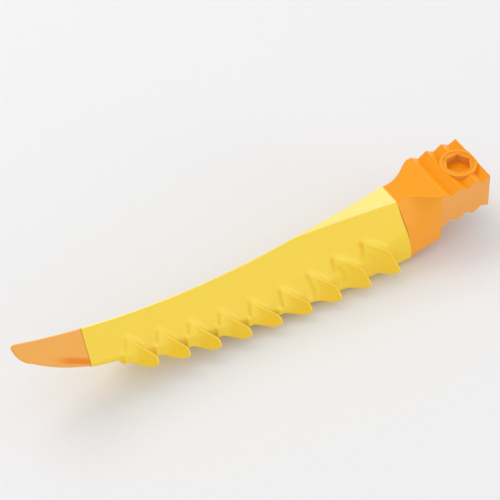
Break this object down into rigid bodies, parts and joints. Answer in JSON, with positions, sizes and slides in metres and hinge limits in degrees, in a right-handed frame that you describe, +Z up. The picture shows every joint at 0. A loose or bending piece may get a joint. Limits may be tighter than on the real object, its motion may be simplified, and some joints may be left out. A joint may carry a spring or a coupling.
{
  "type": "excavator bucket tooth",
  "caption": "Long curved barbed ripper tooth with a ridged mounting block, screw-driven lock, replaceable barbed wear sleeve and bolted tip cap.",
  "frame": {"origin": "on the lock screw's axis, at the middle of the mounting block's height and width", "axes": "+X out of the block's rear face towards the machine, +Y to the tooth's left side, +Z up, out of the face that holds the lock screw's socket"},
  "size_m": [0.619, 0.1102, 0.1198],
  "materials": {
    "orange_paint": "satin",
    "yellow_paint": "satin",
    "bronze": "machined",
    "bare_steel": "ground",
    "spring_steel": "phosphated",
    "black_steel": "black oxide",
    "seal_rubber": "matt",
    "nylon": "matt"
  },
  "bodies": {
    "tooth": {"shank": "orange_paint", "tip_cap": "orange_paint", "wear_sleeve": "yellow_paint", "thrust_washer": "bronze", "guide_bush": "bronze", "dog_key": "bare_steel", "sleeve_screws": "black_steel", "cap_screw": "black_steel", "dust_wiper": "seal_rubber", "neck_seal": "seal_rubber", "cap_seal": "seal_rubber", "left_barb_1": "yellow_paint", "left_barb_2": "yellow_paint", "left_barb_3": "yellow_paint", "left_barb_4": "yellow_paint", "left_barb_5": "yellow_paint", "left_barb_6": "yellow_paint", "left_barb_7": "yellow_paint", "left_barb_8": "yellow_paint", "left_barb_9": "yellow_paint", "right_barb_1": "yellow_paint", "right_barb_2": "yellow_paint", "right_barb_3": "yellow_paint", "right_barb_4": "yellow_paint", "right_barb_5": "yellow_paint", "right_barb_6": "yellow_paint", "right_barb_7": "yellow_paint", "right_barb_8": "yellow_paint", "right_barb_9": "yellow_paint"},
    "screw": {"lock_screw": "orange_paint", "head_seal": "seal_rubber", "retaining_ring": "spring_steel"},
    "dog": {"lock_dog": "bare_steel", "friction_plug": "nylon"}
  },
  "joints": [
    {"name": "screw_turn", "type": "hinge", "parent": "tooth", "child": "screw", "pos_m": [0, 0, 0], "axis": [0, 0, 1], "range_deg": [0, 360]},
    {"name": "dog_slide", "type": "slide", "parent": "tooth", "child": "dog", "axis": [0, 0, 1], "range_m": [0, 0.01]}
  ],
  "couplings": [
    {"joint": "dog_slide", "follows": "screw_turn", "m_per_rad": 0.0015915}
  ]
}
